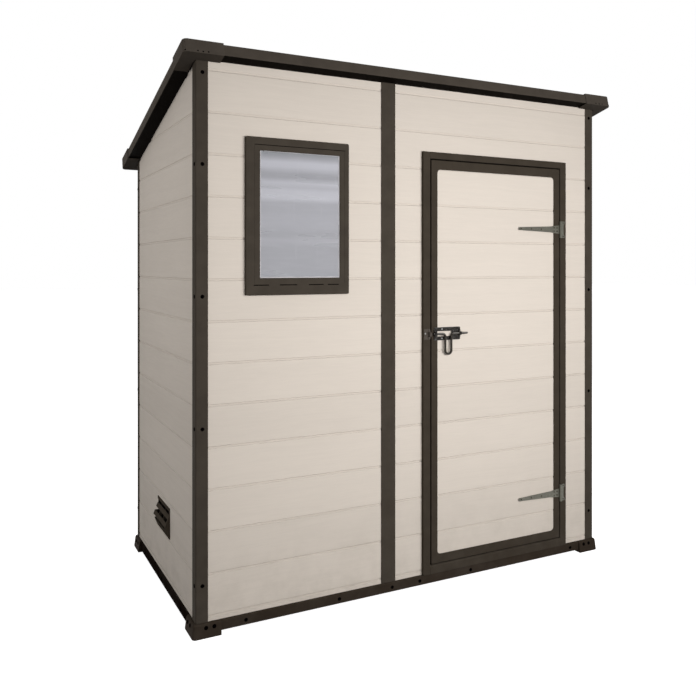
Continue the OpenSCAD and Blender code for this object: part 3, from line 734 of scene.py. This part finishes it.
def softened(node: str, finish: Finish, body: Body = Body.SHED, edge: float = 0.0012,
             segments: int = 2, sharp: float = 35.0, reshape: Reshape | None = None,
             smooth: float = 32.0) -> bpy.types.Object:
    """Replaces a construction piece with a copy whose edges are rounded off.

    Args:
        node: Name of the construction piece.
        finish: Finish of the copy.
        body: Body that the copy moves with.
        edge: Width of the rounding.
        segments: Number of faces across the rounding.
        sharp: Angle in degrees above which an edge is rounded.
        reshape: Change to the copy's mesh before it is rounded.
        smooth: Angle in degrees below which an edge is shaded smooth.

    Returns:
        The copy.
    """
    mesh = bmesh.new()
    mesh.from_mesh(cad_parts[node].data)
    bmesh.ops.remove_doubles(mesh, verts=mesh.verts, dist=MERGE_DISTANCE)
    bmesh.ops.dissolve_degenerate(mesh, edges=mesh.edges, dist=MERGE_DISTANCE)
    bmesh.ops.dissolve_limit(mesh, angle_limit=FLAT_ANGLE, verts=mesh.verts,
                             edges=mesh.edges, use_dissolve_boundaries=False)
    if reshape:
        reshape(mesh)
    edges = [e for e in mesh.edges if len(e.link_faces) == 2
             and e.calc_face_angle(0.0) > math.radians(sharp)]
    bmesh.ops.bevel(mesh, geom=edges, offset=edge, offset_type="OFFSET", segments=segments,
                    affect="EDGES", profile=0.5, material=-1, clamp_overlap=True,
                    loop_slide=True)
    piece = put(f"{node}_soft", mesh, finish, body, smooth)
    weighted = piece.modifiers.new("even_faces", "WEIGHTED_NORMAL")
    weighted.keep_sharp = True
    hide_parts(node)
    return piece


def finished(nodes: Iterable[str], finish: Finish) -> None:
    """Gives construction pieces a finish.

    Args:
        nodes: Names of the construction pieces.
        finish: The finish.
    """
    for node in nodes:
        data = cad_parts[node].data
        data.materials.clear()
        data.materials.append(finish.material())


@dataclass(frozen=True)
class Screw:
    """A low round screw head with a raised ring and a round recess in it."""

    radius: float = 0.0070
    height: float = 0.0016
    steps: int = 20
    taper: float = 0.82
    sunk: float = 0.0002
    ring: float = 0.28
    ring_rise: float = 0.25
    recess_wall: float = 0.18
    recess_depth: float = 0.7

    def add_to(self, mesh: Mesh, at: Point, facing: Matrix) -> None:
        """Adds one head to a mesh.

        Args:
            mesh: Mesh to add to.
            at: Place of the head's foot.
            facing: Turn that points +Z out of the surface.
        """
        place = Matrix.Translation(at) @ facing
        made = bmesh.ops.create_cone(
            mesh, cap_ends=True, cap_tris=False, segments=self.steps, radius1=self.radius,
            radius2=self.radius * self.taper, depth=self.height,
            matrix=place @ Matrix.Translation((0, 0, self.height / 2 - self.sunk)))
        faces = {f for v in made["verts"] for f in v.link_faces}
        outwards = facing.to_3x3() @ Vector((0, 0, 1))
        top = max(faces, key=lambda f: (f.calc_center_median() - Vector(at)).dot(outwards))
        for wide, rise in ((self.ring, self.ring_rise), (self.recess_wall, -self.recess_depth)):
            bmesh.ops.inset_region(mesh, faces=[top], thickness=self.radius * wide,
                                   depth=self.height * rise)


@dataclass
class ScrewSet:
    """Screws of one sub-assembly, made as one piece."""

    name: str
    places: list[tuple[Point, Facing]]
    finish: Finish = BLACK
    body: Body = Body.SHED
    screw: Screw = Screw()

    def build(self) -> bpy.types.Object:
        """Builds the screws.

        Returns:
            The piece that holds all of them.
        """
        mesh = bmesh.new()
        for at, facing in self.places:
            self.screw.add_to(mesh, at, facing.value)
        LOG.info("%s: %d screws", self.name, len(self.places))
        return put(self.name, mesh, self.finish, self.body)


def block(mesh: Mesh, low: Point, high: Point, edge: float = 0.0) -> None:
    """Adds a block between two corners, with its edges rounded.

    Args:
        mesh: Mesh to add to.
        low: Lowest corner.
        high: Highest corner.
        edge: Width of the rounding, or 0 for none.
    """
    size = Vector(high) - Vector(low)
    middle = (Vector(high) + Vector(low)) / 2
    made = bmesh.ops.create_cube(
        mesh, size=1.0, matrix=Matrix.Translation(middle) @ Matrix.Diagonal((*size, 1.0)))
    if edge:
        edges = {e for v in made["verts"] for e in v.link_edges}
        bmesh.ops.bevel(mesh, geom=list(edges), offset=edge, segments=2, affect="EDGES",
                        profile=0.5, material=-1)


@dataclass
class Walls:
    """Boarded wall panels on all four sides."""

    panels: tuple[str, ...] = (
        "front_window_panel", "front_latch_side_panel", "front_hinge_side_panel",
        "front_over_door_panel", "left_wall", "right_wall", "rear_left_panel",
        "rear_right_panel", "door_panel")

    def build(self) -> None:
        """Dresses the panels."""
        finished(self.panels, BOARDS)
        LOG.info("walls: %d boarded panels", len(self.panels))


@dataclass
class Posts:
    """Corner posts and upright strips, with their screws."""

    half_width: float = HALF_WIDTH
    half_depth: float = HALF_DEPTH
    front_inset: float = 0.024
    side_inset: float = 0.0136
    levels: tuple[float, ...] = (0.175, 0.709, 1.161, 1.613)
    top_level: float = 1.926

    def build(self) -> None:
        """Builds the posts and their screws."""
        for node in ("front_left_post", "front_right_post", "rear_left_post",
                     "rear_right_post", "front_mullion", "rear_mullion"):
            softened(node, POST, edge=0.0016)
        x, y = self.half_width, self.half_depth
        places: list[tuple[Point, Facing]] = []
        for side in (-1, 1):
            facing = Facing.LEFT if side < 0 else Facing.RIGHT
            for z in self.levels:
                places.append(((side * (x - self.front_inset), -y, z), Facing.FRONT))
                places.append(((side * (x - self.front_inset), y, z), Facing.REAR))
                places.append(((side * x, self.side_inset - y, z), facing))
                places.append(((side * x, y - self.side_inset, z), facing))
            places.append(((side * (x - self.front_inset), -y, self.top_level), Facing.FRONT))
        ScrewSet("post_screws", places).build()
        LOG.info("posts: 4 corner posts and 2 upright strips")


@dataclass
class Base:
    """Floor, base rails and corner shoes."""

    front_face: float = -0.485
    side_face: float = 0.908
    rail_level: float = 0.029
    rail_screws: tuple[float, ...] = (-0.726, -0.362, -0.135, -0.010, 0.2345, 0.7687)
    rear_screws: tuple[float, ...] = (-0.726, -0.362, 0.0, 0.362, 0.726)
    side_screws: tuple[float, ...] = (-0.30, 0.0, 0.30)
    shoe_level: float = 0.0345
    half_width: float = HALF_WIDTH
    half_depth: float = HALF_DEPTH
    shoe_out: float = 0.0097
    shoe_spots: tuple[float, ...] = (0.034, 0.063)
    shoe_lean: float = math.atan2(4.725, 34.0)
    shoe_screw: Screw = Screw(radius=0.0072)

    def build(self) -> None:
        """Builds the base and its screws."""
        finished(("floor_left_panel", "floor_right_panel"), FLOOR)
        softened("front_rail", DARK)
        # The rear and side rails take the near-black copy of the rail colour: painted shade.
        for node in ("rear_rail", "left_rail", "right_rail"):
            softened(node, RAIL_PAINTED_SHADE)
        softened("corner_shoes", DARK, edge=0.0040, segments=3, sharp=30.0)
        places = [((x, self.front_face, self.rail_level), Facing.FRONT)
                  for x in self.rail_screws]
        places += [((x, -self.front_face, self.rail_level), Facing.REAR)
                   for x in self.rear_screws]
        places += [((side * self.side_face, y, self.rail_level), facing)
                   for side, facing in ((-1, Facing.LEFT), (1, Facing.RIGHT))
                   for y in self.side_screws]
        ScrewSet("rail_screws", places).build()
        self.shoe_screws()
        LOG.info("base: floor, 4 rails and 4 corner shoes")

    def shoe_screws(self) -> None:
        """Builds two screws on each face of each shoe, square to its leaning face."""
        mesh = bmesh.new()
        turn = math.radians(90) - self.shoe_lean
        for x_side, y_side in ((-1, -1), (-1, 1), (1, -1), (1, 1)):
            for along in self.shoe_spots:
                at = (x_side * (self.half_width - along),
                      y_side * (self.half_depth + self.shoe_out), self.shoe_level)
                self.shoe_screw.add_to(mesh, at, Matrix.Rotation(-y_side * turn, 4, "X"))
                at = (x_side * (self.half_width + self.shoe_out),
                      y_side * (self.half_depth - along), self.shoe_level)
                self.shoe_screw.add_to(mesh, at, Matrix.Rotation(x_side * turn, 4, "Y"))
        put("shoe_screws", mesh, BLACK)


@dataclass
class Window:
    """Fixed window: frame, pane, inner bead and weep slots."""

    face: float = -0.492
    pane_left: float = -0.676
    pane_right: float = -0.363
    pane_bottom: float = 1.223
    pane_top: float = 1.673
    edge: float = 0.0003
    bead_out: float = 0.021
    bead_thick: float = 0.0022
    bead_proud: float = 0.0009
    bead_sunk: float = 0.0005
    bead_edge: float = 0.0004
    seal_wide: float = 0.0042
    seal_thin: float = 0.0015
    seal_proud: float = 0.0012
    seal_sunk: float = 0.0002
    slot_level: float = 1.1965
    slot_tall: float = 0.0032
    slot_proud: float = 0.0004
    slot_sunk: float = 0.001
    slot_spans: tuple[tuple[float, float], ...] = (
        (-0.700, -0.643), (-0.602, -0.535), (-0.489, -0.430), (-0.413, -0.368))

    def build(self) -> None:
        """Builds the window."""
        softened("window_frame", POST, edge=0.0022, segments=3)
        finished(("window_pane",), PANE)
        self.bead()
        self.seal()
        self.slots()
        LOG.info("window: frame, pane, bead and slots")

    def bead(self) -> None:
        """Builds the thin bead on the frame's face: sides and, in black, the top."""
        thick, edge = self.bead_thick, self.bead_edge
        x0, x1 = self.pane_left - self.bead_out, self.pane_right + self.bead_out
        z0, z1 = self.pane_bottom - self.bead_out, self.pane_top + self.bead_out
        y0, y1 = self.face - self.bead_proud, self.face + self.bead_sunk
        mesh = bmesh.new()
        block(mesh, (x0, y0, z0 + thick), (x0 + thick, y1, z1 - thick), edge)
        block(mesh, (x1 - thick, y0, z0 + thick), (x1, y1, z1 - thick), edge)
        put("window_bead", mesh, POST)
        mesh = bmesh.new()
        block(mesh, (x0, y0, z1 - thick), (x1, y1, z1), edge)
        put("window_top_gasket", mesh, BLACK)

    def seal(self) -> None:
        """Builds the pale seal between the pane and its frame."""
        mesh = bmesh.new()
        wide, thin, edge = self.seal_wide, self.seal_thin, self.edge
        x0, x1, z0, z1 = self.pane_left, self.pane_right, self.pane_bottom, self.pane_top
        y1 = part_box("window_pane")[0][1] + self.seal_sunk
        y0 = y1 - self.seal_sunk - self.seal_proud
        block(mesh, (x0, y0, z0), (x1, y1, z0 + wide), edge)
        block(mesh, (x0, y0, z1 - thin), (x1, y1, z1), edge)
        block(mesh, (x0, y0, z0 + wide), (x0 + wide, y1, z1 - thin), edge)
        block(mesh, (x1 - wide, y0, z0 + wide), (x1, y1, z1 - thin), edge)
        put("window_seal", mesh, SEAL)

    def slots(self) -> None:
        """Builds the four narrow weep slots in the bottom bar, as black strips whose darkness is
        painted shade.
        """
        mesh = bmesh.new()
        for start, end in self.slot_spans:
            block(mesh, (start, self.face - self.slot_proud, self.slot_level),
                  (end, self.face + self.slot_sunk, self.slot_level + self.slot_tall),
                  self.edge)
        put("window_slots", mesh, BLACK)


@dataclass
class DoorSet:
    """Door leaf and its frame."""

    def build(self) -> None:
        """Builds the door and its frame."""
        for node in ("door_jamb_latch_side", "door_jamb_hinge_side", "door_head"):
            softened(node, BROWN, edge=0.0016)
        softened("door_threshold", BROWN)
        softened("door_rim", BROWN, Body.DOOR, edge=0.0022, segments=3)
        LOG.info("door: leaf and frame")


@dataclass
class Hinges:
    """Two tee hinges with their screws."""

    pin_x: float = 0.70275
    face: float = -0.4945
    levels: tuple[tuple[str, float], ...] = (("upper", 1.424), ("lower", 0.282))
    strap_screws: tuple[tuple[float, float], ...] = (
        (-0.215, 0.0), (-0.160, 0.0), (-0.105, 0.0), (-0.034, 0.0075), (-0.034, -0.0075),
        (-0.018, 0.0075), (-0.018, -0.0075))
    root: float = -0.044
    root_reach: float = 0.0004
    plate_half: float = 0.0140
    strap_half: float = 0.0129
    plate_above: float = 0.016
    edge: float = 0.0005
    screw: Screw = Screw(radius=0.0032, height=0.0012)
    leaf_screws: tuple[tuple[float, float], ...] = ((0.017, 0.029), (0.017, -0.029))

    def narrow(self, level: float, mesh: Mesh) -> None:
        """Draws the left end of a strap's root plate in to the width of its strap.

        Args:
            level: Height of the strap's middle.
            mesh: Mesh of the strap.
        """
        for vert in mesh.verts:
            if abs(vert.co.x - self.pin_x - self.root) < self.root_reach:
                rise = vert.co.z - level
                half = self.plate_half if abs(rise) > self.plate_above else self.strap_half
                vert.co.z = level + math.copysign(half, rise)

    def build(self) -> None:
        """Builds the hinges."""
        for name, level in self.levels:
            softened(f"hinge_strap_{name}", HINGE, Body.DOOR, edge=self.edge, sharp=40.0,
                     reshape=partial(self.narrow, level))
            softened(f"hinge_leaf_{name}", HINGE, edge=self.edge, sharp=40.0)
            for part, body, spots in (("strap", Body.DOOR, self.strap_screws),
                                      ("leaf", Body.SHED, self.leaf_screws)):
                places = [((self.pin_x + x, self.face, level + z), Facing.FRONT)
                          for x, z in spots]
                ScrewSet(f"hinge_{part}_screws_{name}", places, BROWN, body, self.screw).build()
        LOG.info("hinges: upper and lower")


@dataclass
class Bolt:
    """Sliding bolt with its plate and keeper."""

    face: float = -0.4945
    level: float = 0.997
    plate_left: float = 0.050
    window_left: float = 0.0385
    window_end: float = 0.0021
    window_half: float = 0.0107
    window_shift: float = 0.022
    edge: float = 0.0004
    rod_edge: float = 0.0006
    # The left screws are bright zinc and the right ones dark steel: the bright heads are partly a
    # painted glint.
    screw_rows: tuple[tuple[str, float, Finish], ...] = (
        ("left", 0.038, ZINC), ("right", 0.112, STEEL))
    screw_rise: float = 0.0185
    plate_screw: Screw = Screw(radius=0.0033, height=0.0013)
    keeper_inset: float = 0.0055
    keeper_rise: float = 0.003
    keeper_screw: Screw = Screw(radius=0.0030, height=0.0012)

    def opened(self, mesh: Mesh) -> None:
        """Draws the left end of the plate's window out towards its guide.

        Args:
            mesh: Mesh of the plate.
        """
        for vert in mesh.verts:
            if (abs(vert.co.x - self.plate_left - self.window_left) < self.window_end
                    and abs(vert.co.z - self.level) < self.window_half):
                vert.co.x -= self.window_shift

    def build(self) -> None:
        """Builds the bolt."""
        softened("latch_plate", STEEL, Body.DOOR, self.edge, sharp=40.0, reshape=self.opened)
        softened("latch_keeper", KEEPER, edge=self.edge, sharp=40.0)
        softened("latch_bolt", ROD, Body.BOLT, self.rod_edge, sharp=50.0)
        for name, along, finish in self.screw_rows:
            places = [((self.plate_left + along, self.face, self.level + z), Facing.FRONT)
                      for z in (self.screw_rise, -self.screw_rise)]
            ScrewSet(f"latch_screws_{name}", places, finish, Body.DOOR, self.plate_screw).build()
        at = (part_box("latch_keeper")[0][0] + self.keeper_inset, self.face,
              self.level + self.keeper_rise)
        ScrewSet("latch_keeper_screw", [(at, Facing.FRONT)], ZINC, screw=self.keeper_screw).build()
        LOG.info("bolt: plate, rod and keeper")


@dataclass
class Vents:
    """Hooded vents in the side walls, each with a black sheet behind its slots as painted shade.
    """

    shade_sheet_near: float = 0.0003
    shade_sheet_far: float = 0.0012
    inset: float = 0.004

    def build(self) -> None:
        """Builds the vents."""
        for node in ("left_vent", "right_vent"):
            softened(node, VENT, edge=0.0006)
            low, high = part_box(node)
            side = -1 if low[0] < 0 else 1
            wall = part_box(node.replace("vent", "wall"))[0 if side < 0 else 1][0]
            # A black sheet just inside the wall behind the slots stands for the shade in the vent:
            # painted shade.
            ends = sorted((wall + side * self.shade_sheet_near, wall + side * self.shade_sheet_far))
            mesh = bmesh.new()
            block(mesh, (ends[0], low[1] + self.inset, low[2] + self.inset),
                  (ends[1], high[1] - self.inset, high[2] - self.inset))
            put(f"{node}_screen", mesh, BLACK)
        LOG.info("vents: left and right")


@dataclass
class Roof:
    """Roof panels, edge trims and corner caps, with the screws of the front caps.

    The slant starts at wall_top, the middle of the front wall's top edge.
    """

    wall_top: Point = (0.0, -0.482, 1.970)
    slope: float = 13.8
    cap_face: float = -0.0519
    corner: float = 0.9598
    cap_round: float = 0.016
    cap_screws: tuple[tuple[float, float], ...] = (
        (0.049, 0.0), (0.067, -0.0010), (0.086, 0.0))
    corner_turn: float = math.radians(34.0)
    corner_level: float = -0.0010
    screw: Screw = Screw(radius=0.0030, height=0.0010, steps=12)

    def screws(self) -> None:
        """Builds the small screws low on the front faces of the two front caps."""
        slant = Matrix.Rotation(-math.radians(self.slope), 4, "X")
        lean = Matrix.Translation(self.wall_top) @ slant
        mesh = bmesh.new()
        for side in (-1, 1):
            spots = [(along, 0.0, up, 0.0) for along, up in self.cap_screws]
            spots.append((self.cap_round * (1 - math.sin(self.corner_turn)),
                          self.cap_round * (1 - math.cos(self.corner_turn)),
                          self.corner_level, self.corner_turn))
            for along, back, up, turn in spots:
                at = lean @ Vector((side * (self.corner - along), self.cap_face + back, up))
                spin = Matrix.Rotation(side * turn, 4, "Z")
                self.screw.add_to(mesh, tuple(at), slant @ spin @ Facing.FRONT.value)
        put("roof_cap_screws", mesh, BLACK)

    def build(self) -> None:
        """Builds the roof."""
        for node in ("roof_left_panel", "roof_right_panel"):
            softened(node, SHEET, edge=0.0012)
        for node in ("front_fascia", "rear_fascia", "left_fascia", "right_fascia"):
            softened(node, ROOF, edge=0.0010, sharp=40.0)
        softened("roof_corner_caps", CAP, edge=0.0030, segments=3, sharp=40.0)
        self.screws()
        LOG.info("roof: panels, trims and caps")


# ---- Studio ----


@dataclass(frozen=True)
class Lamp:
    """A soft oblong lamp at one point, aimed at another, that isn't itself seen.

    Its power is in watts, and gloss says whether it shows in glossy surfaces.
    """

    name: str
    at: Point
    aim: Point
    wide: float
    tall: float
    power: float
    gloss: bool = True

    def build(self) -> None:
        """Makes the lamp."""
        data = bpy.data.lights.new(self.name, "AREA")
        data.shape, data.energy = "RECTANGLE", self.power
        data.size, data.size_y = self.wide, self.tall
        lamp = bpy.data.objects.new(self.name, data)
        lamp.location = self.at
        away = Vector(self.aim) - Vector(self.at)
        lamp.rotation_euler = away.to_track_quat("-Z", "Y").to_euler()
        lamp.visible_camera, lamp.visible_glossy = False, self.gloss
        bpy.context.scene.collection.objects.link(lamp)


@dataclass
class Studio:
    """Camera, floor, lamps and world."""

    eye: Point = (-1.6037, -2.9953, 1.2626)
    yaw: float = 26.97
    lens: float = 39.0
    sensor: float = 36.0
    shift: float = -0.1087
    floor_half: float = 40.0
    ambient: float = 0.2
    lamps: tuple[Lamp, ...] = (
        Lamp("key", (0.25, -2.7, 1.3), (0.25, -0.48, 1.25), 2.4, 0.8, 57.0, gloss=False),
        Lamp("side_fill", (-3.0, -0.2, 1.7), (-0.9, 0.0, 1.3), 1.6, 1.0, 19.5, gloss=False),
        Lamp("rear_fill", (2.6, 3.4, 3.2), (0.2, 0.2, 1.1), 2.6, 2.0, 110.0))

    def camera(self) -> None:
        """Makes the camera."""
        data = bpy.data.cameras.new("view")
        data.lens, data.sensor_width, data.shift_y = self.lens, self.sensor, self.shift
        camera = bpy.data.objects.new("view", data)
        camera.location = self.eye
        camera.rotation_euler = (math.radians(90), 0.0, -math.radians(self.yaw))
        bpy.context.scene.collection.objects.link(camera)
        bpy.context.scene.camera = camera

    def floor(self) -> None:
        """Makes the floor."""
        mesh = bmesh.new()
        bmesh.ops.create_grid(mesh, x_segments=1, y_segments=1, size=self.floor_half)
        data = bpy.data.meshes.new("studio_floor")
        mesh.to_mesh(data)
        mesh.free()
        data.materials.append(STUDIO.material())
        floor = bpy.data.objects.new("studio_floor", data)
        bpy.context.scene.collection.objects.link(floor)

    def world(self) -> None:
        """Makes an even world that looks white and lights softly."""
        world = bpy.data.worlds.new("studio_world")
        bpy.context.scene.world = world
        world.use_nodes = True
        graph = Graph(world.node_tree)
        shader = graph.add("ShaderNodeBackground", {
            "Color": WHITE,
            "Strength": graph.math("MAXIMUM", self.ambient, graph.seen())})
        graph.add("ShaderNodeOutputWorld", {0: shader.outputs[0]})

    def build(self) -> None:
        """Builds the studio round the camera."""
        self.floor()
        self.world()
        for lamp in self.lamps:
            lamp.build()
        bpy.context.scene.view_settings.view_transform = "Standard"
        LOG.info("studio: floor, world and lamps")


def main() -> None:
    """Builds the scene."""
    logging.basicConfig(level=logging.INFO, format="%(name)s: %(message)s")
    studio = Studio()
    studio.camera()
    for part in (Walls(), Posts(), Base(), Window(), DoorSet(), Hinges(), Bolt(), Vents(),
                 Roof()):
        part.build()
    studio.build()


if __name__ == "__main__":
    main()
